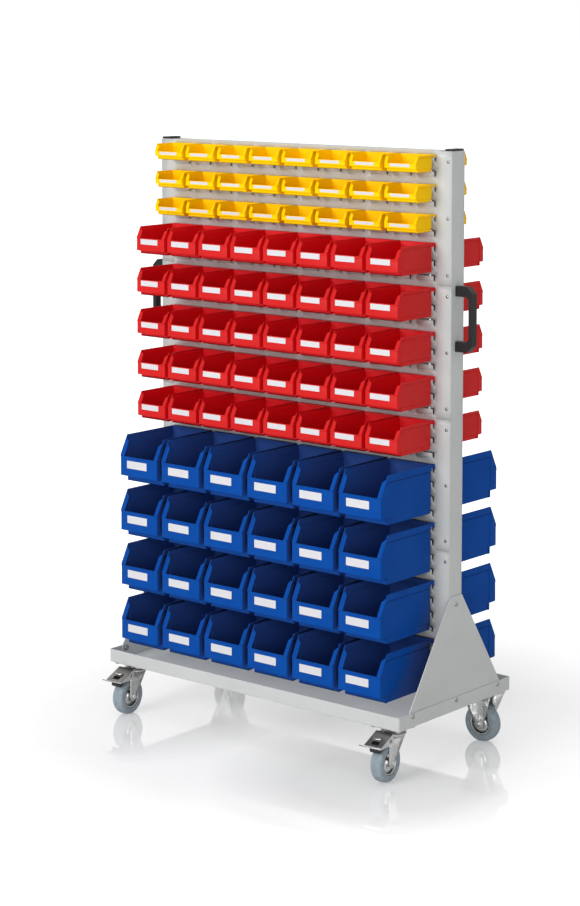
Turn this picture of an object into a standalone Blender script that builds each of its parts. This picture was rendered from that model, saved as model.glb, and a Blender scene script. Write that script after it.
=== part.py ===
# Mobile bin cart: a louvred double sided frame on a caster tray, with rows of hanging picking bins.
# Metres, +Z up, the long side of the cart along X, the braked casters at -Y.

import math

import bmesh
import bpy
from mathutils import Matrix, Vector

mm = 0.001
degree = math.pi / 180

# Driving sizes of the frame
frame_width = 997 * mm
post_depth = 50 * mm
post_width = 25 * mm
post_wall = 2 * mm
fit_gap = 0.3 * mm
cut_overrun = 5 * mm

# Louvred panels
louvre_pitch = 38 * mm
louvres_per_panel = 9
panels_per_side = 4
panel_sheet = 1.5 * mm
panel_seam = 0.4 * mm
panel_flange = 12 * mm
flange_end_gap = 2 * mm
panel_above_tray = 42 * mm
louvre_margin = 53.5 * mm
louvre_tip_drop = 14 * mm
louvre_root_drop = 30 * mm
slot_top_drop = 11 * mm
louvre_reach = 12 * mm
louvre_end_taper = 2 * mm

# Base tray and gussets
tray_depth = 488 * mm
tray_wall_height = 36 * mm
tray_sheet = 2 * mm
gusset_sheet = 3 * mm
gusset_foot_inset = 46 * mm
gusset_rise = 266 * mm

# Post caps
cap_height = 5 * mm
cap_plug_depth = 20 * mm
cap_bevel = 1.5 * mm
round_profile = 0.5

# Bow handles
handle_height = 168 * mm
handle_reach = 53 * mm
handle_width = 20 * mm
handle_arm = 26 * mm
handle_grip = 12 * mm
handle_corner = 17 * mm
handle_inner_corner = 8 * mm
handle_bevel = 3 * mm
handle_below_top = 426 * mm
handle_bevel_angle = 30 * degree

# Casters
caster_height = 138 * mm
caster_end_inset = 54.1 * mm
caster_side_inset = 46 * mm
caster_turn = 5.5 * degree
caster_trail = 36 * mm
wheel_diameter = 100 * mm
tyre_width = 32 * mm
tyre_shoulder = 9 * mm
tyre_side_drop = 6 * mm
rim_diameter = 62 * mm
rim_width = 28 * mm
rim_lip = 4 * mm
rim_web = 10 * mm
hub_diameter = 24 * mm
hub_length = 34 * mm
axle_diameter = 10 * mm
axle_head = 5 * mm
axle_head_diameter = 15 * mm
plate_length = 105 * mm
plate_width = 85 * mm
plate_thick = 3.5 * mm
plate_corner = 8 * mm
race_diameter = 58 * mm
race_height = 10 * mm
crown_diameter = 68 * mm
crown_height = 9 * mm
bridge_drop = 5 * mm
bridge_out = 5 * mm
head_overlap = 1 * mm
leg_gap = 37 * mm
leg_sheet = 3 * mm
leg_half_width = 13 * mm
leg_wing_length = 30 * mm
leg_wing_fold = 32 * degree
bracket_leg_half_width = 15 * mm
bracket_wing_length = 36 * mm

# Brake pedals
pedal_width = 51 * mm
pedal_sheet = 2 * mm
pedal_pivot_out = 15 * mm
pedal_pivot_up = 50 * mm
pedal_rear_out = 7 * mm
pedal_rear_up = 73 * mm
pedal_tip_out = 63 * mm
pedal_tip_up = 52 * mm
pedal_nose = 8 * mm
pedal_cheek_out = 22 * mm
pedal_cheek_up = 41 * mm
pedal_heel_up = 44 * mm
pedal_window_width = 15 * mm
pedal_window_length = 12 * mm
pedal_window_out = 48 * mm
pedal_boss_diameter = 12 * mm
pedal_rivet_height = 2 * mm

# Facets of the round pieces
wheel_steps = 16
race_steps = 16
pin_steps = 12
leg_arc_steps = 5
smooth_angle = 40 * degree

# Picking bins: driving sizes of the three kinds
bin_kinds = {
    "yellow": dict(
        pitch=113.4 * mm, count=8, width=103 * mm, depth=72 * mm, height=45 * mm, wall=1.8 * mm,
        rim_below_cell=7.6 * mm, rim_setback=12 * mm, foot_setback=12 * mm, foot_height=8 * mm),
    "red": dict(
        pitch=113.4 * mm, count=8, width=104 * mm, depth=146 * mm, height=78 * mm, wall=2 * mm,
        rim_below_cell=1.6 * mm, rim_setback=16 * mm, foot_setback=20 * mm, foot_height=9.5 * mm),
    "blue": dict(
        pitch=152.8 * mm, count=6, width=138 * mm, depth=214 * mm, height=129 * mm, wall=2.5 * mm,
        rim_below_cell=2.2 * mm, rim_setback=32 * mm, foot_setback=30 * mm, foot_height=16 * mm),
}
base_taper = 3 * mm
bin_front_share = 0.56
hook_depth = 7 * mm
hook_edge = 2.4 * mm
hook_play = 0.5 * mm

# Louvre cells, counted down from the frame's top, that carry each row
row_cells = {
    "yellow": (0, 2, 4),
    "red": (6, 9, 12, 15, 18),
    "blue": (21, 25, 29, 33),
}

# Places worked out from the driving sizes
panel_height = louvres_per_panel * louvre_pitch
tray_bottom_z = caster_height + fit_gap
tray_floor_z = tray_bottom_z + tray_sheet
tray_top_z = tray_bottom_z + tray_wall_height
frame_top_z = tray_top_z + panel_above_tray + panels_per_side * panel_height
post_outer_x = frame_width / 2
gusset_x = post_outer_x + fit_gap
tray_length = 2 * (gusset_x + gusset_sheet + fit_gap + tray_sheet)
caster_x = tray_length / 2 - caster_end_inset
caster_y = tray_depth / 2 - caster_side_inset
panel_back_y = post_depth / 2 + fit_gap
panel_face_y = panel_back_y + panel_sheet
bin_back_y = louvre_reach + fit_gap
axle_z = wheel_diameter / 2
bin_reach = panel_face_y + bin_back_y + bin_kinds["blue"]["depth"]
pedal_reach = caster_y + (caster_trail + pedal_tip_out) * math.cos(caster_turn)
pedal_reach += pedal_width / 2 * math.sin(caster_turn)
footprint_shift_y = (pedal_reach - bin_reach) / 2


def make_material(name, colour, roughness, metallic=0.0):
    material = bpy.data.materials.new(name)
    material.use_nodes = True
    shader = material.node_tree.nodes["Principled BSDF"]
    shader.inputs["Base Color"].default_value = (*colour, 1.0)
    shader.inputs["Roughness"].default_value = roughness
    shader.inputs["Metallic"].default_value = metallic
    material.diffuse_color = (*colour, 1.0)
    return material


def place_mesh(name, mesh, material, parent, place=(0, 0, 0), turn=0.0):
    piece = bpy.data.objects.new(name, mesh)
    bpy.context.scene.collection.objects.link(piece)
    mesh.materials.clear()
    mesh.materials.append(material)
    piece.parent = parent
    piece.location = place
    piece.rotation_euler = (0, 0, turn)
    return piece


def make_empty(name, parent, place, turn=0.0):
    empty = bpy.data.objects.new(name, None)
    bpy.context.scene.collection.objects.link(empty)
    empty.parent = parent
    empty.location = place
    empty.rotation_euler = (0, 0, turn)
    return empty


def finish_mesh(name, bm):
    bmesh.ops.recalc_face_normals(bm, faces=bm.faces[:])
    mesh = bpy.data.meshes.new(name)
    bm.to_mesh(mesh)
    bm.free()
    return mesh


def bake(piece):
    """Mesh of a piece with its modifiers applied; the piece itself is removed."""
    seen = piece.evaluated_get(bpy.context.evaluated_depsgraph_get())
    mesh = bpy.data.meshes.new_from_object(seen)
    bpy.data.objects.remove(piece)
    return mesh


def combine(mesh, tool_mesh, operation):
    piece = bpy.data.objects.new("work", mesh)
    tool = bpy.data.objects.new("tool", tool_mesh)
    for item in (piece, tool):
        bpy.context.scene.collection.objects.link(item)
    modifier = piece.modifiers.new("combine", "BOOLEAN")
    modifier.object = tool
    modifier.operation = operation
    modifier.solver = "EXACT"
    result = bake(piece)
    bpy.data.objects.remove(tool)
    return result


def unite(meshes):
    result = meshes[0]
    for mesh in meshes[1:]:
        result = combine(result, mesh, "UNION")
    return result


def add_block(bm, low, high):
    size = Vector(high) - Vector(low)
    centre = (Vector(high) + Vector(low)) / 2
    place = Matrix.Translation(centre) @ Matrix.Diagonal((*size, 1))
    bmesh.ops.create_cube(bm, size=1, matrix=place)


def block(low, high):
    bm = bmesh.new()
    add_block(bm, low, high)
    return finish_mesh("block", bm)


def add_prism(bm, corners, travel):
    """Closed prism from a ring of corners, drawn along the travel vector."""
    face = bm.faces.new([bm.verts.new(corner) for corner in corners])
    grown = bmesh.ops.extrude_face_region(bm, geom=[face])
    moved = [item for item in grown["geom"] if isinstance(item, bmesh.types.BMVert)]
    bmesh.ops.translate(bm, verts=moved, vec=travel)


def prism(corners, travel):
    bm = bmesh.new()
    add_prism(bm, corners, travel)
    return finish_mesh("prism", bm)


def cylinder(diameter, length, centre, axis, steps):
    """Closed cylinder about its centre along the axis."""
    bm = bmesh.new()
    turn = Vector((0, 0, 1)).rotation_difference(Vector(axis)).to_matrix().to_4x4()
    bmesh.ops.create_cone(
        bm, cap_ends=True, segments=steps, radius1=diameter / 2, radius2=diameter / 2,
        depth=length, matrix=Matrix.Translation(centre) @ turn)
    return finish_mesh("cylinder", bm)


def ring(profile, steps):
    """Solid of revolution about X from a closed outline of (along, radius) pairs."""
    bm = bmesh.new()
    verts = [bm.verts.new((along, 0, radius)) for along, radius in profile]
    edges = [bm.edges.new((verts[i - 1], verts[i])) for i in range(len(verts))]
    bmesh.ops.spin(
        bm, geom=verts + edges, cent=(0, 0, 0), axis=(1, 0, 0), angle=2 * math.pi,
        steps=steps, use_merge=True)
    return finish_mesh("ring", bm)


def shade_smooth(piece, sharp_angle):
    for face in piece.data.polygons:
        face.use_smooth = True
    piece.data.set_sharp_from_angle(angle=sharp_angle)


# Frame: tray, posts, gussets, caps and handles


def build_tray(root, paint):
    half_x = tray_length / 2
    half_y = tray_depth / 2
    outer = block((-half_x, -half_y, tray_bottom_z), (half_x, half_y, tray_top_z))
    inner = block(
        (tray_sheet - half_x, tray_sheet - half_y, tray_floor_z),
        (half_x - tray_sheet, half_y - tray_sheet, tray_top_z + cut_overrun))
    place_mesh("base_tray", combine(outer, inner, "DIFFERENCE"), paint, root)


def build_post(root, side, name, paint):
    foot_z = tray_floor_z + fit_gap
    half_x = post_width / 2
    half_y = post_depth / 2
    outer = block((-half_x, -half_y, foot_z), (half_x, half_y, frame_top_z))
    bore = block(
        (post_wall - half_x, post_wall - half_y, foot_z - cut_overrun),
        (half_x - post_wall, half_y - post_wall, frame_top_z + cut_overrun))
    place = (side * (post_outer_x - half_x), 0, 0)
    place_mesh("post_" + name, combine(outer, bore, "DIFFERENCE"), paint, root, place)


def build_gusset(root, side, name, paint):
    foot_z = tray_floor_z + fit_gap
    half_foot = tray_depth / 2 - gusset_foot_inset
    half_top = post_depth / 2
    top_z = tray_top_z + gusset_rise
    outline = [
        (half_foot, foot_z), (half_foot, tray_top_z), (half_top, top_z),
        (-half_top, top_z), (-half_foot, tray_top_z), (-half_foot, foot_z)]
    near_x = side * gusset_x
    corners = [(near_x, y, z) for y, z in outline]
    place_mesh("gusset_" + name, prism(corners, (side * gusset_sheet, 0, 0)), paint, root)


def build_cap(root, side, name, plastic):
    half_x = post_width / 2
    half_y = post_depth / 2
    inset = post_wall + fit_gap
    bottom_z = frame_top_z + fit_gap
    bm = bmesh.new()
    add_block(bm, (-half_x, -half_y, bottom_z), (half_x, half_y, bottom_z + cap_height))
    upper = [edge for edge in bm.edges if max(vert.co.z for vert in edge.verts) > bottom_z]
    bmesh.ops.bevel(bm, geom=upper, offset=cap_bevel, segments=2, profile=round_profile, affect="EDGES")
    plug = block(
        (inset - half_x, inset - half_y, bottom_z - cap_plug_depth),
        (half_x - inset, half_y - inset, bottom_z + cap_height / 2))
    place = (side * (post_outer_x - half_x), 0, 0)
    cap = combine(finish_mesh("plate", bm), plug, "UNION")
    place_mesh("cap_" + name, cap, plastic, root, place)


def build_handle(root, side, name, plastic):
    half = handle_height / 2
    inside = half - handle_arm
    grip_x = handle_reach - handle_grip
    upper = [
        (0, inside), (grip_x - handle_inner_corner, inside), (grip_x, inside - handle_inner_corner)]
    outer = [(handle_reach, half - handle_corner), (handle_reach - handle_corner, half), (0, half)]
    lower = [(x, -z) for x, z in reversed(upper)]
    outer_low = [(x, -z) for x, z in reversed(outer)]
    outline = upper + lower + outer_low + outer
    corners = [(x, -handle_width / 2, z) for x, z in outline]
    place = (side * (post_outer_x + fit_gap), 0, frame_top_z - handle_below_top)
    turn = 0 if side > 0 else math.pi
    mesh = prism(corners, (0, handle_width, 0))
    handle = place_mesh("handle_" + name, mesh, plastic, root, place, turn)
    bevel = handle.modifiers.new("soft_edges", "BEVEL")
    bevel.width = handle_bevel
    bevel.segments = 1
    bevel.limit_method = "ANGLE"
    bevel.angle_limit = handle_bevel_angle


# Louvred panels


def make_panel_mesh():
    """One louvred panel: outer face at y = 0, top edge at z = 0, louvres towards +Y."""
    half_x = frame_width / 2
    half_flange = half_x - post_width - flange_end_gap
    slot_half = half_x - louvre_margin
    top_z = -panel_seam / 2
    bottom_z = panel_seam / 2 - panel_height
    flanges = bmesh.new()
    for low_z in (top_z - panel_sheet, bottom_z):
        add_block(
            flanges, (-half_flange, -panel_sheet - panel_flange, low_z),
            (half_flange, -panel_sheet / 2, low_z + panel_sheet))
    slots = bmesh.new()
    for cell in range(louvres_per_panel):
        cell_z = -cell * louvre_pitch
        add_block(
            slots, (-slot_half, -panel_sheet - cut_overrun, cell_z - louvre_root_drop),
            (slot_half, cut_overrun, cell_z - slot_top_drop))
    sheet = block((-half_x, -panel_sheet, bottom_z), (half_x, 0, top_z))
    sheet = combine(sheet, finish_mesh("flanges", flanges), "UNION")
    sheet = combine(sheet, finish_mesh("slots", slots), "DIFFERENCE")
    bm = bmesh.new()
    bm.from_mesh(sheet)
    bm.normal_update()
    sills = [
        face for face in bm.faces if face.normal.z > 0
        and face.calc_center_median().z < 2 * top_z and face.calc_center_median().y > -panel_sheet]
    narrow = Matrix.Diagonal(((slot_half - louvre_end_taper) / slot_half, 1, 1))
    for sill in sills:
        grown = bmesh.ops.extrude_face_region(bm, geom=[sill])
        tip = [item for item in grown["geom"] if isinstance(item, bmesh.types.BMVert)]
        bmesh.ops.translate(bm, verts=tip, vec=(0, louvre_reach, louvre_root_drop - louvre_tip_drop))
        bmesh.ops.transform(bm, verts=tip, matrix=narrow)
    bmesh.ops.delete(bm, geom=[sill for sill in sills if sill.is_valid], context="FACES_ONLY")
    return finish_mesh("sheet", bm)


def build_panels(root, paint):
    mesh = make_panel_mesh()
    for side, side_name, turn in ((-1, "front", math.pi), (1, "back", 0)):
        for index in range(panels_per_side):
            place = (0, side * panel_face_y, frame_top_z - index * panel_height)
            name = "panel_%s_%d" % (side_name, index + 1)
            place_mesh(name, mesh.copy(), paint, root, place, turn)


# Picking bins


def tongue_inner_y(drop_below_tip):
    """Inner side of a louvre's tongue, counted down from its free edge."""
    slope = louvre_reach / (louvre_root_drop - louvre_tip_drop)
    return louvre_reach - panel_sheet - slope * drop_below_tip


def lip_seat(kind):
    """Height of the lip's underside, which rests on the tongues, below the rim."""
    return kind["rim_below_cell"] + fit_gap - louvre_tip_drop


def lip_outline(kind):
    """Hooked rear lip, from its top edge by the panel down to its seat, as (y, z)."""
    seat_z = lip_seat(kind)
    return [
        (hook_edge, 0), (hook_edge, seat_z - hook_depth),
        (tongue_inner_y(hook_depth) - hook_play, seat_z - hook_depth),
        (tongue_inner_y(0) - hook_play, seat_z)]


def skin_outline(kind):
    """Outside of a bin from the lip's seat over back, base, foot and front to the rim, as (y, z)."""
    front_y = bin_back_y + kind["depth"]
    height = kind["height"]
    foot_y = front_y - kind["foot_setback"]
    step_z = kind["foot_height"] - height
    return [
        (bin_back_y, lip_seat(kind)), (bin_back_y, -height), (foot_y, -height), (foot_y, step_z),
        (front_y, step_z), (front_y, height * (bin_front_share - 1)), (front_y - kind["rim_setback"], 0)]


def lining_outline(kind):
    """Inside of a bin from its back rim over the floor and up the front to the rim, as (y, z)."""
    wall = kind["wall"]
    skin = skin_outline(kind)
    back = [(bin_back_y + wall, 0), (bin_back_y + wall, wall - kind["height"])]
    foot_y = skin[2][0] - wall
    front_y = skin[4][0] - wall
    step_z = skin[3][1] + wall
    floor = [(foot_y, wall - kind["height"]), (foot_y, step_z), (front_y, step_z)]
    return back + floor + [(y - wall, z) for y, z in skin[5:]]


def make_row_mesh(kind):
    """A row of bins on one hooked rear lip; the panel's face is at y = 0, the rim at z = 0."""
    bm = bmesh.new()
    wall = kind["wall"]
    last = kind["count"] - 1
    seat_z = lip_seat(kind)
    crest_y = bin_back_y + wall

    def add_verts(outline, index, side, thickness=0):
        centre_x = (index - last / 2) * kind["pitch"]
        verts = []
        for y, z in outline:
            half_width = kind["width"] / 2 + base_taper * z / kind["height"] - thickness
            verts.append(bm.verts.new((centre_x + side * half_width, y, z)))
        return verts

    def bridge(left, right):
        for index in range(len(left) - 1):
            bm.faces.new((left[index], left[index + 1], right[index + 1], right[index]))

    lips = [add_verts(lip_outline(kind), index, side) for index, side in ((0, -1), (last, 1))]
    bridge(*lips)
    top_edge = [lips[1][0], lips[0][0]]
    seat_edge = [lips[1][-1], lips[0][-1]]
    gap_edge = None
    for index in range(kind["count"]):
        skins = [add_verts(skin_outline(kind), index, side) for side in (-1, 1)]
        linings = [add_verts(lining_outline(kind), index, side, wall) for side in (-1, 1)]
        crests = [add_verts([(crest_y, 0)], index, side) for side in (-1, 1)]
        feet = [[] if index == end else add_verts([(crest_y, seat_z)], index, side)
                for side, end in ((-1, 0), (1, last))]
        for skin, lining, crest, foot, lip in zip(skins, linings, crests, feet, lips):
            bm.faces.new(skin + crest + (foot or lip))
            bm.faces.new(lining)
            bm.faces.new((crest[0], skin[-1], lining[-1], lining[0]))
            bm.faces.new((skin[-1], skin[-2], lining[-2], lining[-1]))
        bridge(skins[0][:-1], skins[1][:-1])
        bridge(linings[0][:-1], linings[1][:-1])
        bm.faces.new((skins[0][-2], skins[1][-2], linings[1][-2], linings[0][-2]))
        if gap_edge:
            bridge(gap_edge, [skins[0][0], feet[0][0], crests[0][0]])
        if index < last:
            gap_edge = [skins[1][0], feet[1][0], crests[1][0]]
        top_edge += [crests[0][0], linings[0][0], linings[1][0], crests[1][0]]
        seat_edge += [skins[0][0], skins[1][0]]
    bm.faces.new(top_edge)
    bm.faces.new(seat_edge)
    return finish_mesh("row", bm)


def build_rows(root, plastics):
    meshes = {name: make_row_mesh(kind) for name, kind in bin_kinds.items()}
    for side, side_name, turn in ((-1, "front", math.pi), (1, "back", 0)):
        for name, cells in row_cells.items():
            for index, cell in enumerate(cells):
                rim_z = frame_top_z - cell * louvre_pitch - bin_kinds[name]["rim_below_cell"]
                place = (0, side * panel_face_y, rim_z)
                label = "bins_%s_%s_%d" % (side_name, name, index + 1)
                place_mesh(label, meshes[name].copy(), plastics[name], root, place, turn)


# Casters


def leg_sheet_mesh(side, half_width, wing_length, top_z, wing_leads):
    """Folded leg beside the wheel; the wheel's axle is at the origin, its track along Y."""
    x = side * (leg_gap + leg_sheet) / 2
    bm = bmesh.new()
    top = top_z - axle_z
    corners = [bm.verts.new((x, -half_width, top))]
    for step in range(leg_arc_steps + 1):
        angle = math.pi * (1 + step / leg_arc_steps)
        corners.append(bm.verts.new((x, half_width * math.cos(angle), half_width * math.sin(angle))))
    corners.append(bm.verts.new((x, half_width, top)))
    bm.faces.new(corners)
    reach = wing_length * math.cos(leg_wing_fold)
    flare = side * wing_length * math.sin(leg_wing_fold)
    creases = {1: (corners[-2], corners[-1]), -1: (corners[1], corners[0])}
    for lead in wing_leads:
        low, high = creases[lead]
        tip = bm.verts.new((x + flare, lead * (half_width + reach), top))
        bm.faces.new((low, tip, high))
    piece = bpy.data.objects.new("leg", finish_mesh("leg", bm))
    bpy.context.scene.collection.objects.link(piece)
    solidify = piece.modifiers.new("sheet", "SOLIDIFY")
    solidify.thickness = leg_sheet
    solidify.offset = 0
    solidify.use_even_offset = True
    return bake(piece)


def axle_meshes():
    span = leg_gap + 2 * leg_sheet
    shaft = cylinder(axle_diameter, span + 2 * head_overlap, (0, 0, 0), (1, 0, 0), pin_steps)
    head_span = span + 2 * axle_head
    heads = [
        cylinder(
            axle_head_diameter, axle_head + head_overlap,
            (side * (head_span - axle_head - head_overlap) / 2, 0, 0), (1, 0, 0), pin_steps)
        for side in (-1, 1)]
    return [shaft] + heads


def move_mesh(mesh, place, turn=0.0):
    mesh.transform(Matrix.Translation(place) @ Matrix.Rotation(turn, 4, "Z"))
    return mesh


def plate_outline(length, width, z):
    """Flat plate outline with cut corners, length along Y."""
    half_y = length / 2
    half_x = width / 2
    cut = plate_corner
    quarter = [(half_x, half_y - cut), (half_x - cut, half_y)]
    mirrored = [(-x, y) for x, y in reversed(quarter)]
    lower = [(-x, -y) for x, y in quarter + mirrored]
    return [(x, y, z) for x, y in quarter + mirrored + lower]


def build_wheel(parent, name, place, steel, rubber):
    """Pressed rim on the axle and the tyre around it, both turning about local X."""
    bore = axle_diameter / 2 + fit_gap
    hub = hub_diameter / 2
    bed = rim_diameter / 2
    half_rim = rim_width / 2
    half_web = rim_web / 2
    right = [
        (hub_length / 2, bore), (hub_length / 2, hub), (half_web, hub + rim_lip),
        (half_web, bed - 2 * rim_lip), (half_rim, bed)]
    profile = right + [(-x, r) for x, r in reversed(right)]
    rim = place_mesh("rim_" + name, ring(profile, wheel_steps), steel, parent, place)
    inner = bed + fit_gap
    tread = wheel_diameter / 2
    half_tyre = tyre_width / 2
    flank = (inner + tread) / 2
    right = [
        (half_rim, inner), (half_tyre, flank - tyre_side_drop), (half_tyre, flank),
        (half_tyre - tyre_shoulder, tread)]
    profile = right + [(-x, r) for x, r in reversed(right)]
    tyre = place_mesh("tyre_" + name, ring(profile, wheel_steps), rubber, parent, place)
    for piece in (rim, tyre):
        shade_smooth(piece, smooth_angle)


def build_swivel_caster(root, side, name, metals):
    steel, rubber = metals
    pivot = make_empty("swivel_axis_" + name, root, (side * caster_x, -caster_y, 0), caster_turn)
    plate_low_z = caster_height - plate_thick
    race_low_z = plate_low_z - race_height
    plate = prism(plate_outline(plate_width, plate_length, plate_low_z), (0, 0, plate_thick))
    race = cylinder(
        race_diameter, race_height + head_overlap,
        (0, 0, race_low_z + (race_height + head_overlap) / 2), (0, 0, 1), race_steps)
    place_mesh(
        "caster_plate_" + name, unite([plate, race]), steel, root,
        (side * caster_x, -caster_y, 0))

    crown_top_z = race_low_z - fit_gap
    crown = cylinder(
        crown_diameter, crown_height, (0, 0, crown_top_z - crown_height / 2), (0, 0, 1), race_steps)
    half_bridge = (leg_gap + leg_sheet) / 2
    bridge_top_z = crown_top_z - bridge_drop
    bridge = block(
        (-half_bridge, -caster_trail - bridge_out, bridge_top_z - leg_sheet),
        (half_bridge, 0, bridge_top_z))
    leg_top_z = bridge_top_z - leg_sheet / 2
    legs = [
        leg_sheet_mesh(leg_side, leg_half_width, leg_wing_length, leg_top_z, (1,))
        for leg_side in (-1, 1)]
    axle = (0, -caster_trail, axle_z)
    hung = [move_mesh(mesh, axle) for mesh in legs + axle_meshes()]
    fork = unite(hung + [bridge, crown])
    place_mesh("fork_" + name, fork, steel, pivot)
    build_wheel(pivot, name, axle, steel, rubber)
    build_pedal(pivot, name, steel)


def build_pedal(pivot, name, steel):
    """Folded brake pedal over the trailing side of the wheel, its origin on the pivot pin."""
    half = pedal_width / 2
    run = pedal_tip_out - pedal_rear_out
    fall = (pedal_rear_up - pedal_tip_up) / run

    def top_up(out):
        return pedal_rear_up - (out - pedal_rear_out) * fall

    def corner(out, up, x):
        return (x, pedal_pivot_out - out, up - pedal_pivot_up)

    shell_outline = [
        (pedal_rear_out, pedal_rear_up), (pedal_tip_out, pedal_tip_up),
        (pedal_tip_out, pedal_tip_up - pedal_nose), (pedal_cheek_out, pedal_cheek_up),
        (pedal_rear_out, pedal_heel_up)]
    shell = prism([corner(out, up, -half) for out, up in shell_outline], (pedal_width, 0, 0))
    room_rear = pedal_rear_out - cut_overrun
    room_front = pedal_tip_out - pedal_sheet
    room_low = pedal_cheek_up - cut_overrun
    room_outline = [
        (room_rear, top_up(room_rear) - pedal_sheet), (room_front, top_up(room_front) - pedal_sheet),
        (room_front, room_low), (room_rear, room_low)]
    room_half = half - pedal_sheet
    room = prism([corner(out, up, -room_half) for out, up in room_outline], (2 * room_half, 0, 0))
    window_half = pedal_window_length / 2
    window_up = top_up(pedal_window_out)
    window = block(
        corner(pedal_window_out + window_half, window_up - cut_overrun, -pedal_window_width / 2),
        corner(pedal_window_out - window_half, window_up + cut_overrun, pedal_window_width / 2))
    shell = combine(combine(shell, room, "DIFFERENCE"), window, "DIFFERENCE")
    boss_start = leg_gap / 2 + leg_sheet + fit_gap
    boss_end = half + pedal_rivet_height
    bosses = [
        cylinder(
            pedal_boss_diameter, boss_end - boss_start,
            (side * (boss_start + boss_end) / 2, 0, 0), (1, 0, 0), pin_steps)
        for side in (-1, 1)]
    place = (0, -caster_trail - pedal_pivot_out, axle_z + pedal_pivot_up)
    place_mesh("pedal_" + name, unite([shell] + bosses), steel, pivot, place)


def build_fixed_caster(root, side, name, metals):
    steel, rubber = metals
    centre = make_empty("track_" + name, root, (side * caster_x, caster_y, 0), math.pi / 2)
    plate_low_z = caster_height - plate_thick
    plate = prism(plate_outline(plate_length, plate_width, plate_low_z), (0, 0, plate_thick))
    leg_top_z = plate_low_z + plate_thick / 2
    legs = [
        leg_sheet_mesh(leg_side, bracket_leg_half_width, bracket_wing_length, leg_top_z, (1, -1))
        for leg_side in (-1, 1)]
    axle = (0, 0, axle_z)
    hung = [move_mesh(mesh, axle) for mesh in legs + axle_meshes()]
    place_mesh("bracket_" + name, unite(hung + [plate]), steel, centre)
    build_wheel(centre, name, axle, steel, rubber)


def build_cart():
    for item in list(bpy.data.objects):
        bpy.data.objects.remove(item)
    paint = make_material("light_grey_paint", (0.66, 0.67, 0.65), 0.45)
    black = make_material("black_plastic", (0.02, 0.022, 0.024), 0.5)
    steel = make_material("zinc_plated_steel", (0.55, 0.56, 0.57), 0.35, 1.0)
    rubber = make_material("grey_rubber", (0.25, 0.31, 0.35), 0.7)
    plastics = {
        "yellow": make_material("yellow_plastic", (1.0, 0.58, 0.0), 0.4),
        "red": make_material("red_plastic", (0.74, 0.02, 0.02), 0.4),
        "blue": make_material("blue_plastic", (0.006, 0.08, 0.38), 0.4),
    }
    root = make_empty("cart_origin", None, (0, footprint_shift_y, 0))
    build_tray(root, paint)
    for side, name in ((-1, "left"), (1, "right")):
        build_post(root, side, name, paint)
        build_gusset(root, side, name, paint)
        build_cap(root, side, name, black)
        build_handle(root, side, name, black)
        build_swivel_caster(root, side, "front_" + name, (steel, rubber))
        build_fixed_caster(root, side, "back_" + name, (steel, rubber))
    build_panels(root, paint)
    build_rows(root, plastics)


build_cart()
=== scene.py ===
import math

import bmesh
import bpy
import numpy as np
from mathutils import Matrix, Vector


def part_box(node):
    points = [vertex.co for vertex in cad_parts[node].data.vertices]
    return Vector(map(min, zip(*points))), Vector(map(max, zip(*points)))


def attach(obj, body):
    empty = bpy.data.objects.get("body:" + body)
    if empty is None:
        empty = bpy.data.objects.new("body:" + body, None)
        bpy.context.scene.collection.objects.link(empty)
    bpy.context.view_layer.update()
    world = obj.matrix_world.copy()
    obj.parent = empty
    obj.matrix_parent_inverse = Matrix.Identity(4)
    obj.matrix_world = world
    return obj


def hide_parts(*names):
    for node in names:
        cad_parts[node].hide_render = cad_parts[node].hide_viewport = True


# Mobile bin cart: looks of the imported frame. Sizes are in millimetres until a mesh is made.

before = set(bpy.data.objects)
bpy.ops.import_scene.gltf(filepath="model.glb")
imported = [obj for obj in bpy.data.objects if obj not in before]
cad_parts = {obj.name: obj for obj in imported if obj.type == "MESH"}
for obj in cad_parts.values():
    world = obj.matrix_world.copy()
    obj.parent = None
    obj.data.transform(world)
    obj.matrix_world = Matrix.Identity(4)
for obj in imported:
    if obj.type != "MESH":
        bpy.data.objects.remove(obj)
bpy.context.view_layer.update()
mm = 0.001
degree = math.pi / 180
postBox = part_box("post_right")
centreY = (postBox[0].y + postBox[1].y) / 2 / mm  # middle plane of the frame
frameTop = postBox[1].z / mm
postOuterX = postBox[1].x / mm
print("frame loaded")


# Shapes: a part is (points, corner numbers of its faces in a row, corners of each face)


def joined(parts):  # several parts as one
    starts = np.cumsum([0] + [len(points) for points, corners, counts in parts[:-1]])
    return (
        np.concatenate([points for points, corners, counts in parts]),
        np.concatenate([corners + start for (points, corners, counts), start in zip(parts, starts)]),
        np.concatenate([counts for points, corners, counts in parts]))


def repeated(part, places):  # copies of a part, one at each place
    points, corners, counts = part
    places = np.asarray(places, float)
    offsets = np.arange(len(places))[:, None] * len(points)
    return (
        (points[None] + places[:, None]).reshape(-1, 3),
        (corners[None] + offsets).ravel(),
        np.tile(counts, len(places)))


def surface(grid, roundRows=False, roundColumns=False):  # quads between neighbours of a point grid
    rows, columns = grid.shape[:2]
    row = np.arange(rows if roundRows else rows - 1)[:, None]
    column = np.arange(columns if roundColumns else columns - 1)[None]
    nextRow = (row + 1) % rows * columns
    nextColumn = (column + 1) % columns
    here = row * columns
    quads = np.stack([here + column, here + nextColumn, nextRow + nextColumn, nextRow + column], -1)
    return grid.reshape(-1, 3), quads.ravel(), np.full(quads.size // 4, 4)


def spanned(x, y, z):  # sheet through points, each coordinate given along the columns, the rows or both
    return surface(np.stack(np.broadcast_arrays(*np.atleast_2d(x, y, z)), -1))


def skin(rings):  # closed solid through a stack of rings, with flat ends
    points, corners, counts = surface(rings, roundColumns=True)
    size = rings.shape[1]
    first = np.arange(size)[::-1]
    last = np.arange(size) + len(points) - size
    return points, np.concatenate([corners, first, last]), np.append(counts, [size, size])


def hoop(rings):  # closed solid whose last ring meets its first
    return surface(rings, roundRows=True, roundColumns=True)


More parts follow.
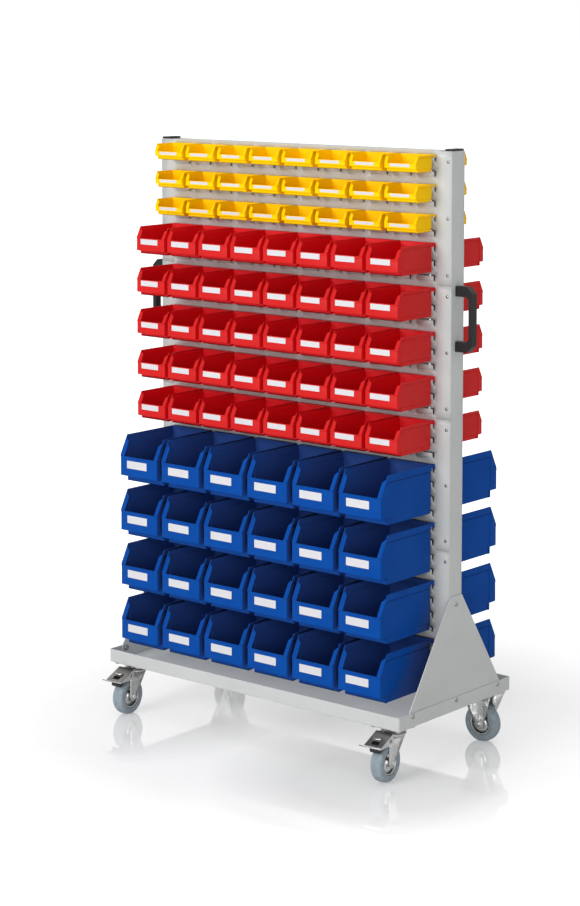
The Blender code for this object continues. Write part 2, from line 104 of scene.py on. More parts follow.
def prism(outline, low, high, axis):  # flat outline carried along an axis
    outline = np.asarray(outline, float)
    rings = np.zeros((2, len(outline), 3))
    rings[:, :, [i for i in range(3) if i != axis]] = outline
    rings[:, :, axis] = np.array([[low], [high]])
    return skin(rings)


def turnedRings(profile, steps, axis=0):
    # (along, radius) pairs spun round an axis: radius cos a and radius sin a across it at each angle a
    along, radius = np.asarray(profile, float).T
    angle = np.arange(steps) * 2 * math.pi / steps
    rings = np.zeros((len(along), steps, 3))
    rings[:, :, axis] = along[:, None]
    rings[:, :, (axis + 1) % 3] = radius[:, None] * np.cos(angle)
    rings[:, :, (axis + 2) % 3] = radius[:, None] * np.sin(angle)
    return rings


def softBox(halfX, halfY, radius, steps=4):
    # rounded rectangle seen from above, as (x, y): a quarter circle about the centre of each corner
    angle = np.linspace(0, math.pi / 2, steps + 1)
    corner = np.stack([np.cos(angle), np.sin(angle)], -1) * radius
    quarters = []
    for signX, signY, flip in ((1, 1, 1), (-1, 1, -1), (-1, -1, 1), (1, -1, -1)):
        arc = corner[::flip] * (signX, signY)
        quarters.append(arc + (signX * (halfX - radius), signY * (halfY - radius)))
    return np.concatenate(quarters)


def levels(outlines, heights):  # stack of (x, y) outlines at their heights
    rings = np.zeros((len(outlines), len(outlines[0]), 3))
    rings[:, :, :2] = np.array(outlines)
    rings[:, :, 2] = np.asarray(heights, float)[:, None]
    return rings


def insets(halfX, halfY, corner, sharpest, steps):  # rounded rectangles, each (how far in, how high)
    outlines = [
        softBox(halfX - inset, halfY - inset, max(corner - inset, sharpest)) for inset, height in steps]
    return levels(outlines, [height for inset, height in steps])


def rounded(outline, radius, steps=4):
    # a corner c becomes the curve a (1 - t)^2 + 2 c t (1 - t) + b t^2, from a on one side to b on the other
    outline = np.asarray(outline, float)
    toward = np.roll(outline, -1, 0) - outline
    back = np.roll(outline, 1, 0) - outline
    toward /= np.linalg.norm(toward, axis=1, keepdims=True)
    back /= np.linalg.norm(back, axis=1, keepdims=True)
    half = np.arccos(np.clip((toward * back).sum(1), -1, 1)) / 2
    reach = np.broadcast_to(radius, half.shape) / np.tan(half)
    share = np.linspace(0, 1, steps + 1)[None, :, None]
    start = (outline + back * reach[:, None])[:, None]
    end = (outline + toward * reach[:, None])[:, None]
    middle = outline[:, None]
    arc = start * (1 - share) ** 2 + middle * 2 * share * (1 - share) + end * share ** 2
    return arc.reshape(-1, 2)


def shifted(part, x=0, y=0, z=0):  # every point moved alike
    return part[0] + (x, y, z), part[1], part[2]


def moved(part, place, turn=0):  # (x cos t - y sin t, x sin t + y cos t) for a turn t about Z, then moved
    points, corners, counts = part
    c, s = math.cos(turn), math.sin(turn)
    return points @ np.array([[c, s, 0], [-s, c, 0], [0, 0, 1]]) + np.asarray(place, float), corners, counts


def onSide(part, side, height):  # from the panel's face, outwards +Y, to the front or the back
    points, corners, counts = part
    sign = 1 if side == "back" else -1
    return points * (sign, sign, 1) + (0, centreY + sign * panels["face"], height), corners, counts


meshing = dict(weld=0.01, bevelAngle=30 * degree)


def makePiece(
        name, parts, look, body, instead=(), bevel=0, bevelSteps=2, sharp=35, sheet=0, outwards=None):
    # parts become one object; sheet and bevel are a thickness and a width, sharp is in degrees, and a
    # sheet thickens away from outwards, or to both sides
    points, corners, counts = joined(parts)
    mesh = bpy.data.meshes.new(name)
    mesh.vertices.add(len(points))
    mesh.vertices.foreach_set("co", (points * mm).ravel())
    mesh.loops.add(len(corners))
    mesh.loops.foreach_set("vertex_index", corners.astype(np.int32))
    mesh.polygons.add(len(counts))
    mesh.polygons.foreach_set("loop_start", np.concatenate([[0], np.cumsum(counts)[:-1]]).astype(np.int32))
    mesh.update(calc_edges=True)
    mesh.validate()
    bm = bmesh.new()
    bm.from_mesh(mesh)
    if sheet:
        bmesh.ops.remove_doubles(bm, verts=bm.verts[:], dist=meshing["weld"] * mm)
    bmesh.ops.recalc_face_normals(bm, faces=bm.faces[:])
    if outwards and sum(f.normal.dot(outwards) * f.calc_area() for f in bm.faces) < 0:
        bmesh.ops.reverse_faces(bm, faces=bm.faces[:])
    bm.to_mesh(mesh)
    bm.free()
    mesh.shade_smooth()
    mesh.set_sharp_from_angle(angle=sharp * degree)
    mesh.materials.append(looks[look])
    piece = bpy.data.objects.new(name, mesh)
    bpy.context.scene.collection.objects.link(piece)
    if sheet:
        solidify = piece.modifiers.new("sheet", "SOLIDIFY")
        solidify.thickness = sheet * mm
        solidify.offset = -1 if outwards else 0
        solidify.use_even_offset = True
    if bevel:
        soft = piece.modifiers.new("soft edges", "BEVEL")
        soft.width = bevel * mm
        soft.segments = bevelSteps
        soft.limit_method = "ANGLE"
        soft.angle_limit = meshing["bevelAngle"]
        soft.harden_normals = True
    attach(piece, body)
    look in slots
    if instead:
        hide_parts(*instead)


# Materials


class Wire:  # a node's output; + - * on it, from either side, add Math nodes
    def __init__(self, look, socket):
        self.look = look
        self.socket = socket

    def math(self, operation, first, second):
        return self.look.node("ShaderNodeMath", {"operation": operation}, {0: first, 1: second})

    def __add__(self, other):
        return self.math("ADD", self, other)

    def __sub__(self, other):
        return self.math("SUBTRACT", self, other)

    def __rsub__(self, other):
        return self.math("SUBTRACT", other, self)

    def __mul__(self, other):
        return self.math("MULTIPLY", self, other)

    __radd__ = __add__
    __rmul__ = __mul__


class Look:  # the nodes of a material or of the world: its shader and what feeds it
    creaseSamples = 6

    def __init__(self, owner, shader="Principled BSDF", **fixed):
        self.owner = owner
        owner.use_nodes = True
        self.tree = owner.node_tree
        self.shader = self.tree.nodes[shader]
        for socket, value in fixed.items():
            self.feed(self.shader.inputs[socket.replace("_", " ")], value)

    def node(self, kind, settings=None, inputs=None, output=0):
        made = self.tree.nodes.new(kind)
        for key, value in (settings or {}).items():
            setattr(made, key, value)
        for key, value in (inputs or {}).items():
            self.feed(made.inputs[key], value)
        return Wire(self, made.outputs[output])

    def feed(self, socket, value):  # by a link or a fixed value
        if isinstance(value, Wire):
            self.tree.links.new(value.socket, socket)
        else:
            socket.default_value = value

    def place(self):  # where on the object, in metres
        return self.node("ShaderNodeTexCoord", output="Object")

    def noise(self, scale, detail, roughness=0.5, stretch=(1, 1, 1)):
        place = self.node("ShaderNodeMapping", None, {"Vector": self.place(), "Scale": stretch})
        inputs = {"Vector": place, "Scale": scale, "Detail": detail, "Roughness": roughness}
        return self.node("ShaderNodeTexNoise", None, inputs, "Fac")

    def between(self, value, low, high, first=0, last=1):  # low to high becomes first to last
        inputs = {"Value": value, "From Min": low, "From Max": high, "To Min": first, "To Max": last}
        return self.node("ShaderNodeMapRange", None, inputs)

    def spread(self, noise, first=0, last=1):  # noise seldom leaves 0.3 to 0.7
        return self.between(noise, 0.3, 0.7, first, last)

    def blend(self, factor, first, second):  # first (1 - factor) + second factor, of two colours
        return self.node("ShaderNodeMix", {"data_type": "RGBA"}, {0: factor, 6: first, 7: second}, 2)

    def crease(self, reach):  # 1 in corners and gaps, 0 in the open, by ambient occlusion: the mask for painted light and shade
        samples = {"samples": self.creaseSamples}
        return 1 - self.node("ShaderNodeAmbientOcclusion", samples, {"Distance": reach * mm}, "AO")

    def finish(self, colour, roughness, height=None, strength=0, depth=0):  # height gives the bumps
        self.feed(self.shader.inputs["Base Color"], colour)
        self.feed(self.shader.inputs["Roughness"], roughness)
        if height is not None:
            bumps = {"Height": height, "Strength": strength, "Distance": depth * mm}
            self.feed(self.shader.inputs["Normal"], self.node("ShaderNodeBump", None, bumps, "Normal"))
        return self.owner


def lookOf(name, **fixed):
    return Look(bpy.data.materials.new(name), **fixed)


def tone(red, green, blue):
    # screen colour with its curve undone: ((v + 0.055) / 1.055)^2.4 for v = part / 255, v / 12.92 if dark
    parts = np.array([red, green, blue]) / 255
    linear = np.where(parts > 0.04, ((parts + 0.055) / 1.055) ** 2.4, parts / 12.92)
    return tuple(linear.tolist()) + (1,)


# A noise is (scale, detail, roughness of its detail). It runs from the first tone to the second, or from
# the smoother gloss to the rougher; bumps are (strength, depth), and shine is the specular level

plastic = dict(mottle=(14, 4), range=(0.3, 0.7), sheen=(120, 3), grain=(1500, 2, 0.5), bumps=(0.15, 0.06))
solids = {
    "greyPaint": dict(  # powder coat with a fine orange peel
        tones=(tone(187, 190, 189), tone(194, 196, 195)), mottle=(7, 4), range=(0.3, 0.7), sheen=(40, 3),
        rough=(0.3, 0.4), grain=(700, 2, 0.4), bumps=(0.05, 0.1), shine=0.5),
    "greyRubber": dict(  # dull and slightly dusty
        tones=(tone(128, 141, 150), tone(148, 160, 168)), mottle=(90, 5, 0.6), range=(0.35, 0.7),
        sheen=(200, 3), rough=(0.5, 0.68), grain=(1100, 3, 0.6), bumps=(0.25, 0.08), shine=0.5),
    # the plastics' tones for inside the bins are painted light, and the blue tone for the gaps is painted
    # shade, both placed by ambient occlusion
    "yellowPlastic": dict(
        plastic, tones=(tone(255, 204, 0), tone(252, 198, 0)), rough=(0.35, 0.47), shine=0.06,
        paintedHollowLight=tone(254, 205, 0)),
    "redPlastic": dict(
        plastic, tones=(tone(203, 26, 26), tone(195, 22, 22)), rough=(0.33, 0.45), shine=0.16,
        paintedHollowLight=tone(224, 18, 28)),
    "bluePlastic": dict(
        plastic, tones=(tone(8, 72, 154), tone(6, 66, 146)), rough=(0.35, 0.47), shine=0.04,
        paintedHollowLight=tone(46, 76, 146), gap=tone(20, 24, 60)),
    "blackPlastic": dict(
        plastic, tones=(tone(24, 25, 27), tone(19, 20, 22)), rough=(0.37, 0.49), shine=0.3),
}
# painted light inside the bins, lighter than their walls, and painted shade in the gaps between the blue
# bins, each placed by ambient occlusion
paintedLightAndShade = dict(paintedHollowLight=(220, 0.35, 0.65), gap=(60, 0.62, 0.88))  # reach, and where it sets in and is full


def solidLook(name):  # paint, rubber or plastic; in and between the bins ambient occlusion sets painted light and painted shade
    kind = solids[name]
    look = lookOf(name, Specular_IOR_Level=kind["shine"])
    mottle = look.between(look.noise(*kind["mottle"]), *kind["range"])
    colour = look.blend(mottle, *kind["tones"])
    # where ambient occlusion finds a hollow or a gap, painted light or painted shade replaces the bin's
    # colour
    for place, (reach, low, high) in paintedLightAndShade.items():
        if place in kind:
            colour = look.blend(look.between(look.crease(reach), low, high), colour, kind[place])
    gloss = look.spread(look.noise(*kind["sheen"]), *kind["rough"])
    return look.finish(colour, gloss, look.noise(*kind["grain"]), *kind["bumps"])


steel = dict(
    cloud=(60, 5, 0.6), scratch=(500, 3, 0.6), scratchShare=0.6, wearRange=(0.25, 0.75), bumps=(0.1, 0.05),
    kinds={
        "zincSteel": dict(tones=(tone(206, 206, 204), tone(182, 184, 186)), rough=(0.2, 0.4)),
        # bolts: a darker copy of the zinc steel, standing in for the shade and dark reflections on their
        # domes: painted shade
        "shadedBoltSteel": dict(tones=(tone(158, 158, 157), tone(138, 140, 141)), rough=(0.16, 0.36)),
        "pedalSteel": dict(
            tones=(tone(150, 145, 142), tone(120, 116, 114)), rough=(0.24, 0.44), stretch=(6, 1, 1)),
        "pressedDisc": dict(tones=(tone(214, 214, 212), tone(196, 198, 199)), rough=(0.14, 0.34)),
    })


def steelLook(name):  # zinc plate with cloudy spots and fine scratches
    kind = steel["kinds"][name]
    look = lookOf(name, Metallic=1.0)
    cloud = look.spread(look.noise(*steel["cloud"]))
    scratch = look.noise(*steel["scratch"], kind.get("stretch", (1, 1, 1)))
    wear = scratch * steel["scratchShare"] + cloud * (1 - steel["scratchShare"])
    gloss = look.between(wear, *steel["wearRange"], *kind["rough"])
    return look.finish(look.blend(cloud, *kind["tones"]), gloss, scratch, *steel["bumps"])


paper = dict(
    tones=(tone(208, 207, 211), tone(202, 202, 206)), fibre=(700, 4, 0.6), stretch=(1, 1, 3), sheen=(50, 3),
    rough=(0.4, 0.55), bumps=(0.1, 0.04))


def paperLook():  # label card with a faint fibre
    look = lookOf("labelCard")
    fibre = look.noise(*paper["fibre"], paper["stretch"])
    colour = look.blend(look.spread(fibre), *paper["tones"])
    gloss = look.spread(look.noise(*paper["sheen"]), *paper["rough"])
    return look.finish(colour, gloss, fibre, *paper["bumps"])


looks = {
    "paint": solidLook("greyPaint"), "yellow": solidLook("yellowPlastic"), "red": solidLook("redPlastic"),
    "blue": solidLook("bluePlastic"), "black": solidLook("blackPlastic"), "steel": steelLook("zincSteel"),
    "bolt": steelLook("shadedBoltSteel"), "pedal": steelLook("pedalSteel"), "disc": steelLook("pressedDisc"),
    "rubber": solidLook("greyRubber"), "paper": paperLook()}
slots = {"paint": "grey_paint", "rubber": "grey_rubber"}
slots.update({name: name + "_plastic" for name in ("yellow", "red", "blue", "black")})
slots.update(dict.fromkeys(("steel", "bolt", "pedal", "disc"), "zinc_steel"))
print("materials made")


# Bolts, shared by the tray, the posts, the panels and the casters

# A bolt or nut is (width, height)
bolts = dict(sunk=0.6, domeEnd=80 * degree, domeRings=4, shoulderShare=0.8, rimShare=0.88)


def domeBolt(diameter, height, axis, sign, steps=12):
    # pan head, a quarter ellipse spun round its axis: height sin a along it and radius cos a out
    angle = np.linspace(0, bolts["domeEnd"], bolts["domeRings"])
    dome = np.stack([sign * height * np.sin(angle), diameter / 2 * np.cos(angle)], -1)
    neck = [(-sign * bolts["sunk"], diameter / 2)]
    return skin(turnedRings(np.concatenate([neck, dome]), steps, axis))


def hexBolt(across, height, axis, sign):  # hexagon with its rim chamfered
    radius = across / math.sqrt(3)
    profile = [
        (-sign * bolts["sunk"], radius), (sign * height * bolts["shoulderShare"], radius),
        (sign * height, radius * bolts["rimShare"])]
    return skin(turnedRings(profile, 6, axis))


# Base tray

tray = dict(
    halfX=postOuterX + 5.6, halfY=244, bottom=138.3, top=174.3, sheet=2, corner=4, sharpest=0.4,
    bend=1.5, bendPoint=(1, 0.8), rimRound=0.6, floorBend=2, floorPoint=0.6,
    boltsY=(-186, 0, 186), boltDrop=8, bolt=(13, 3.4), nut=(15, 6), nutGap=0.2)


def buildTray():  # rounded rectangles from under the floor, over the rim and down to the floor inside
    low, high, sheet = tray["bottom"], tray["top"], tray["sheet"]
    bend, rim, inside, point = tray["bend"], tray["rimRound"], tray["floorBend"], tray["floorPoint"]
    steps = (
        (bend, low), (tray["bendPoint"][0], low + tray["bendPoint"][1]), (0, low + bend),
        (0, high - rim), (rim, high), (sheet - rim, high), (sheet, high - rim),
        (sheet, low + sheet + inside), (sheet + point, low + sheet + point), (sheet + inside, low + sheet))
    shell = skin(insets(tray["halfX"], tray["halfY"], tray["corner"], tray["sharpest"], steps))
    makePiece("baseTray", [shifted(shell, y=centreY)], "paint", "frame", ["base_tray"])
    parts = []
    for sign in (-1, 1):
        outer, inner = domeBolt(*tray["bolt"], 0, sign), hexBolt(*tray["nut"], 0, -sign)
        height = high - tray["boltDrop"]
        nutX = sign * (postOuterX + tray["nutGap"])
        parts.append(repeated(
            outer, [(sign * tray["halfX"], centreY + y, height) for y in tray["boltsY"]]))
        parts.append(repeated(inner, [(nutX, centreY + y, height) for y in tray["boltsY"] if y]))
    makePiece("trayBolts", parts, "bolt", "frame")


buildTray()
print("tray made")


# Posts, gussets, caps and handles

posts = dict(halfX=12.5, halfY=25, wall=2, corner=3, boreCorner=1, foot=140.6)


def buildPost(sign, name):  # rounded rectangles up the outside, over the end and down the bore
    outer = softBox(posts["halfX"], posts["halfY"], posts["corner"])
    bore = softBox(posts["halfX"] - posts["wall"], posts["halfY"] - posts["wall"], posts["boreCorner"])
    tube = hoop(levels([outer, outer, bore, bore], [posts["foot"], frameTop, frameTop, posts["foot"]]))
    tube = shifted(tube, sign * (postOuterX - posts["halfX"]), centreY)
    makePiece("post_" + name.title(), [tube], "paint", "frame", ["post_" + name])


caps = dict(height=5, gap=0.3, edge=0.7, edgeShare=0.35, crown=2, crownDrop=0.3, sharpest=0.5)


def buildCap(sign, name):  # rounded rectangles up from the post's end, drawn in at the edge and the crown
    base = frameTop + caps["gap"]
    top = base + caps["height"]
    edge = caps["edge"]
    shoulder = edge * caps["edgeShare"]
    steps = (
        (0, base), (0, top - edge), (shoulder, top - shoulder), (edge, top),
        (edge + caps["crown"], top - caps["crownDrop"]))
    lid = skin(insets(posts["halfX"], posts["halfY"], posts["corner"], caps["sharpest"], steps))
    lid = shifted(lid, sign * (postOuterX - posts["halfX"]), centreY)
    makePiece("cap" + name.title(), [lid], "black", "frame", ["cap_" + name])


gussets = dict(
    sheet=3, gap=0.3, foot=198, top=25, rise=266, corner=3, edge=0.7, boltDrop=22, bolt=(14, 3.6))


def buildGusset(sign, name):  # outline of half widths at the foot, the tray's rim and the top
    near = sign * (postOuterX + gussets["gap"])
    far = near + sign * gussets["sheet"]
    foot, top = gussets["foot"], gussets["top"]
    high = tray["top"] + gussets["rise"]
    outline = [
        (foot, posts["foot"]), (foot, tray["top"]), (top, high),
        (-top, high), (-foot, tray["top"]), (-foot, posts["foot"])]
    plate = prism(rounded(outline, gussets["corner"]) + (centreY, 0), min(near, far), max(near, far), 0)
    makePiece("gusset" + name.title(), [plate], "paint", "frame", ["gusset_" + name],
              bevel=gussets["edge"])
    bolt = shifted(domeBolt(*gussets["bolt"], 0, sign), far, centreY, high - gussets["boltDrop"])
    makePiece("gussetBolt" + name.title(), [bolt], "bolt", "frame")


handles = dict(
    drop=426, half=84, reach=53, width=20, arm=26, grip=12, outer=17, inner=8, gap=0.3,
    bend=5, foot=0.5, bendSteps=3, edge=3.4, edgeSteps=3)


def buildHandle(sign, name):  # bow outline as (out, up), corners rounded, carried across the post
    half, reach = handles["half"], handles["reach"]
    grip = reach - handles["grip"]
    inside = half - handles["arm"]
    upper = [(0, inside), (grip - handles["inner"], inside), (grip, inside - handles["inner"])]
    outer = [(reach, half - handles["outer"]), (reach - handles["outer"], half), (0, half)]
    outline = upper + [(x, -z) for x, z in upper[::-1]] + [(x, -z) for x, z in outer[::-1]] + outer
    foot, bend = handles["foot"], handles["bend"]
    radius = np.array([foot, bend, bend, bend, bend, foot] * 2)
    outline = rounded(outline, radius, handles["bendSteps"]) * (sign, 1)
    outline += (sign * (postOuterX + handles["gap"]), frameTop - handles["drop"])
    width = handles["width"] / 2
    bow = prism(outline, centreY - width, centreY + width, 1)
    makePiece("handle" + name.title(), [bow], "black", "frame", ["handle_" + name],
              bevel=handles["edge"], bevelSteps=handles["edgeSteps"])


for sign, name in ((-1, "left"), (1, "right")):
    buildPost(sign, name)
    buildCap(sign, name)
    buildGusset(sign, name)
    buildHandle(sign, name)
print("posts, caps, gussets and handles made")


# Louvred panels

panels = dict(
    face=26.8, sheet=1.5, halfX=postOuterX, height=342, seam=0.4, pitch=38, cells=9, count=4, flange=26.4,
    tongues=12, tonguePitch=76.2, tongueHalf=26.4, slotSide=1.8, slotTop=12, slotRound=4, cellSplit=24,
    root=29, tip=14, reach=4.6, bendPower=8, tongueShares=(0, 0.04, 0.09, 0.16, 0.27, 0.5, 0.86, 0.95, 1),
    tipTrim=(0, 0, 0, 0, 0, 0, 0.2, 0.9, 2.2),
    bolt=(9, 2.4), boltInset=12.5, boltDrops=(27, 171, 315))


def tongueOut(share):
    # how far the tongue stands out at a share of its height, reach (1 - (1 - share)^power): it bends
    # quickly, then rises
    return panels["reach"] * (1 - (1 - share) ** panels["bendPower"])


def louvreTile():
    # one cell of sheet round its slot, each point of the cell's edge joined to one of the slot's outline,
    # and the tongue from the slot's sill up to its free edge
    half, low = panels["tonguePitch"] / 2, -panels["pitch"]
    tongue = panels["tongueHalf"]
    side = tongue + panels["slotSide"]
    top, root, curve = -panels["slotTop"], -panels["root"], panels["slotRound"]
    bend = curve * (1 - math.sqrt(0.5))  # how far in the middle of a round corner lies
    split = panels["cellSplit"]
    slot = np.array([
        (-side, root), (-tongue, root), (tongue, root), (side, root), (side, top - curve),
        (side - bend, top - bend), (side - curve, top), (curve - side, top), (bend - side, top - bend),
        (-side, top - curve)], float)
    edge = np.array([
        (-half, low), (-split, low), (split, low), (half, low), (half, top - curve), (half, 0),
        (split, 0), (-split, 0), (-half, 0), (-half, top - curve)], float)
    ring = np.zeros((2, len(slot), 3))
    ring[0][:, [0, 2]] = edge
    ring[1][:, [0, 2]] = slot
    shares = np.array(panels["tongueShares"])
    width = tongue - np.array(panels["tipTrim"])
    up = root + (panels["root"] - panels["tip"]) * shares
    strip = spanned(width[:, None] * (-1, 1), tongueOut(shares)[:, None], up[:, None])
    return joined([surface(ring, roundColumns=True), strip])


def panelSheet():  # cells side by side, plain margins at the ends, flanges folded back above and below
    span = (np.arange(panels["tongues"]) - (panels["tongues"] - 1) / 2) * panels["tonguePitch"]
    across, down = np.meshgrid(span, -np.arange(panels["cells"]) * panels["pitch"])
    tiles = repeated(louvreTile(), np.stack([across.ravel(), 0 * across.ravel(), down.ravel()], -1))
    points = tiles[0]
    points[:, 2] = np.clip(points[:, 2], panels["seam"] / 2 - panels["height"], -panels["seam"] / 2)
    inner = panels["tonguePitch"] * panels["tongues"] / 2
    knots = np.unique(points[np.isclose(points[:, 0], inner), 2].round(6))
    parts = [tiles]
    for sign in (-1, 1):
        parts.append(spanned([[sign * inner], [sign * panels["halfX"]]], 0, knots))
    for edge in (knots[0], knots[-1]):
        line = np.unique(points[np.isclose(points[:, 2], edge) & (points[:, 1] == 0), 0].round(6))
        parts.append(spanned(line, [[0], [-panels["flange"]]], edge))
    return joined(parts)


def buildPanels():  # the same sheet and bolt heads on both sides, a panel's height apart
    sheet = panelSheet()
    heads = repeated(domeBolt(*panels["bolt"], 1, 1), [
        (sign * (panels["halfX"] - panels["boltInset"]), 0, -drop)
        for sign in (-1, 1) for drop in panels["boltDrops"]])
    for side, outwards in (("front", (0, -1, 0)), ("back", (0, 1, 0))):
        tops = [frameTop - index * panels["height"] for index in range(panels["count"])]
        for index, height in enumerate(tops):
            makePiece(
                "panel_%s_%d" % (side.title(), index + 1), [onSide(sheet, side, height)], "paint",
                "frame", ["panel_%s_%d" % (side, index + 1)],
                sheet=panels["sheet"], outwards=outwards)
        makePiece("panelBolts" + side.title(), [onSide(heads, side, height) for height in tops],
                  "bolt", "frame")


buildPanels()
print("panels made")


# Picking bins: x across the bin, y out from the panel, z up from the rim at the crest. seat is how far
# the back lies from the panel's face, below how far the crest lies under the top of its cell

bins = dict(
    seat=12.3, taper=0.4, proud=0.5, recess=2, rearCorner=2.5, cornerSteps=4, frontDraw=0.5, creaseRun=2,
    innerCorner=1, slantBand=2.5, lowBand=4, lowFrom=0.6,
    kinds={
        "yellow": dict(
            pitch=113.4, count=8, width=101.4, depth=72, height=43.3, wall=1.8, below=9.35, setback=10.5,
            lip=20.6, foot=12, footHeight=9.1, footSide=2.2, band=5, corner=2, cheek=8, label=(62, 7.4),
            labelAt=(0.7, -25.6), cells=(0, 2, 4)),
        "red": dict(
            pitch=113.4, count=8, width=104, depth=146, height=74.4, wall=2, below=5.2, setback=17,
            lip=30.7, foot=20, footHeight=9.5, footSide=0.2, band=6.6, corner=2, cheek=11, label=(62, 14.5),
            labelAt=(4, -40.3), cells=(6, 9, 12, 15, 18)),
        "blue": dict(
            pitch=152.8, count=6, width=138, depth=214, height=127.3, wall=2.5, below=4.8, setback=29,
            lip=55.1, foot=30, footHeight=18.5, footSide=1.4, band=17, corner=3.5, cheek=13, label=(73, 21),
            labelAt=(5.5, -76.3), cells=(21, 25, 29, 33)),
    })

# The shell's rows, from its foot up the outside, over the rim and down the inside. Each names the outline
# and the line that it starts from and says 1 if it lies inside the wall, then how far in it is from the
# sides, the back and the front, and how far above its line
shellRows = (
    ("foot", "bottom", 0, 1, 1, 1, 0), ("foot", "bottom", 0, 0, 0, 0, 1), ("foot", "step", 0, 0, 0, 0, 0),
    ("body", "step", 0, 1, 1, 1, 0), ("body", "step", 0, 0, 0.3, 0, 1.2),
    ("neck", "band", 0, 0.6, 0.3, 0, -2.6), ("neck", "band", 0, 2, 0.3, 0, -2.4),
    ("neck", "band", 0, 2, 0.3, 0, -0.4), ("rim", "band", 0, 0.5, 0, 0.3, 0),
    ("rim", "rim", 0, 0, 0, 0.2, -0.7), ("rim", "rim", 0, 0.6, 0.6, 0.8, 0),
    ("rim", "rim", 1, -0.4, 0, 1, 0), ("rim", "rim", 1, 0, 0, 1.4, -0.5),
    ("rim", "band", 1, 0.2, 0, 1.4, 0), ("neck", "band", 1, 0.4, 0.3, 0, -1),
    ("body", "step", 1, 0, 0.3, 0, 1.5),
    ("body", "step", 1, 1.5, 2, 1.5, 0), ("foot", "step", 1, 0, 2, 0, -0.2),
    ("foot", "bottom", 1, 1, 3, 1, 0))


def binOutline(kind, narrow, low, high, corner, recess=0):
    # seen from above, from the middle of the back round the right side to the front and back again;
    # the side wall behind the crease lies back by the recess
    half = kind["width"] / 2 - narrow
    split = kind["depth"] - kind["setback"]
    rear = bins["rearCorner"]
    turn = np.linspace(0, math.pi / 2, bins["cornerSteps"])
    frontHalf = half - bins["frontDraw"]
    flank = half - recess
    back = np.stack([flank - rear + rear * np.sin(turn), low + rear - rear * np.cos(turn)], -1)
    side = np.array([
        (flank, split - bins["creaseRun"]), (half, split),
        ((half + frontHalf) / 2, (split + high - corner) / 2)])
    front = np.stack(
        [frontHalf - corner + corner * np.cos(turn), high - corner + corner * np.sin(turn)], -1)
    right = np.concatenate([back, side, front])
    return np.concatenate([right, right[::-1] * (-1, 1)])


def binShell(kind):
    # outlines stacked along shellRows; the rim's height follows each point's depth: level to the crest,
    # then down the slanted edge to the front's top, lip times the share of the setback that is passed
    deep, height = kind["depth"], kind["height"]
    rimDepth = binOutline(kind, 0, 0, deep, kind["corner"])[:, 1]
    slope = np.clip((rimDepth - deep + kind["setback"]) / kind["setback"], 0, 1)
    rim = -slope * kind["lip"]
    slant = np.where(slope > bins["lowFrom"], bins["lowBand"], bins["slantBand"])
    band = np.where(slope > 0, slant, kind["band"])
    flat = np.zeros_like(rim)
    lines = {
        "bottom": flat - height, "step": flat + kind["footHeight"] - height, "band": rim - band, "rim": rim}
    upright = bins["taper"] * (1 - kind["footHeight"] / height)
    outlines = {
        "foot": (bins["taper"] + kind["footSide"], deep - kind["foot"], bins["recess"]),
        "body": (upright, deep - bins["proud"], bins["recess"]),
        "neck": (0, deep - bins["proud"], bins["recess"]),
        "rim": (0, deep, 0)}
    rings = np.zeros((len(shellRows), len(rim), 3))
    for ring, (outline, line, inside, side, back, front, up) in zip(rings, shellRows):
        narrow, end, recess = outlines[outline]
        wall = inside * kind["wall"]
        corner = kind["corner"] - bins["innerCorner"] * (inside and outline != "foot")
        narrow, end = narrow + side + wall, end - front - wall
        ring[:, :2] = binOutline(kind, narrow, back + wall, end, corner, recess)
        ring[:, 2] = lines[line] + up + wall * (line in ("bottom", "step"))
    return shifted(skin(rings), y=bins["seat"])


cheeks = dict(
    under=0.7, front=1.4, side=1.2, foot=2, draw=0.8, straight=0.68, ends=((0.45, 0.73), (0.5, 0.79)))


def binCheeks(kind):  # inward flanges lying just under the slanted edges, with stepped upper ends
    lip, setback, width = kind["lip"], kind["setback"], kind["cheek"]
    length = math.hypot(setback, lip)
    along = np.array([-setback, lip]) / length
    normal = np.array([lip, setback]) / length
    start = np.array([bins["seat"] + kind["depth"] - cheeks["front"], -lip])
    outer = kind["width"] / 2 - cheeks["side"]
    inner = outer - width
    ends = [(inner + width * across, length * up) for across, up in cheeks["ends"]]
    flat = np.array([
        (outer, -cheeks["foot"]), (inner, -cheeks["foot"]),
        (inner + cheeks["draw"], length * cheeks["straight"]), *ends, (outer, ends[-1][1])])
    rings = np.zeros((2, len(flat), 3))
    for ring, depth in zip(rings, (cheeks["under"], kind["wall"] + cheeks["under"])):
        ring[:, 0] = flat[:, 0]
        ring[:, 1:] = start + flat[:, 1:] * along - normal * depth
    right = skin(rings)
    return joined([right, (right[0] * (-1, 1, 1), right[1], right[2])])


lips = dict(edge=0.8, hook=4, play=0.5, tipDrop=14, gap=0.3, chamfer=1, overlap=1, side=0.2)


def binLip(kind):  # hooked rear lip over the louvre's tongue, its outline carried across the bin
    seat = kind["below"] + lips["gap"] - lips["tipDrop"]
    behind = panels["sheet"] + lips["play"]
    low = tongueOut(1 - lips["hook"] / (panels["root"] - panels["tip"])) - behind
    edge, chamfer, back = lips["edge"], lips["chamfer"], bins["seat"] + lips["overlap"]
    outline = [
        (edge, -chamfer), (edge + chamfer, 0), (back, 0), (back, seat), (tongueOut(1) - behind, seat),
        (low, seat - lips["hook"]), (edge, seat - lips["hook"])]
    half = kind["width"] / 2 - lips["side"]
    return prism(outline, -half, half, 0)


labels = dict(thick=0.45, corner=0.6, cornerSteps=2, gap=0.6, rail=1.2, railDepth=2)


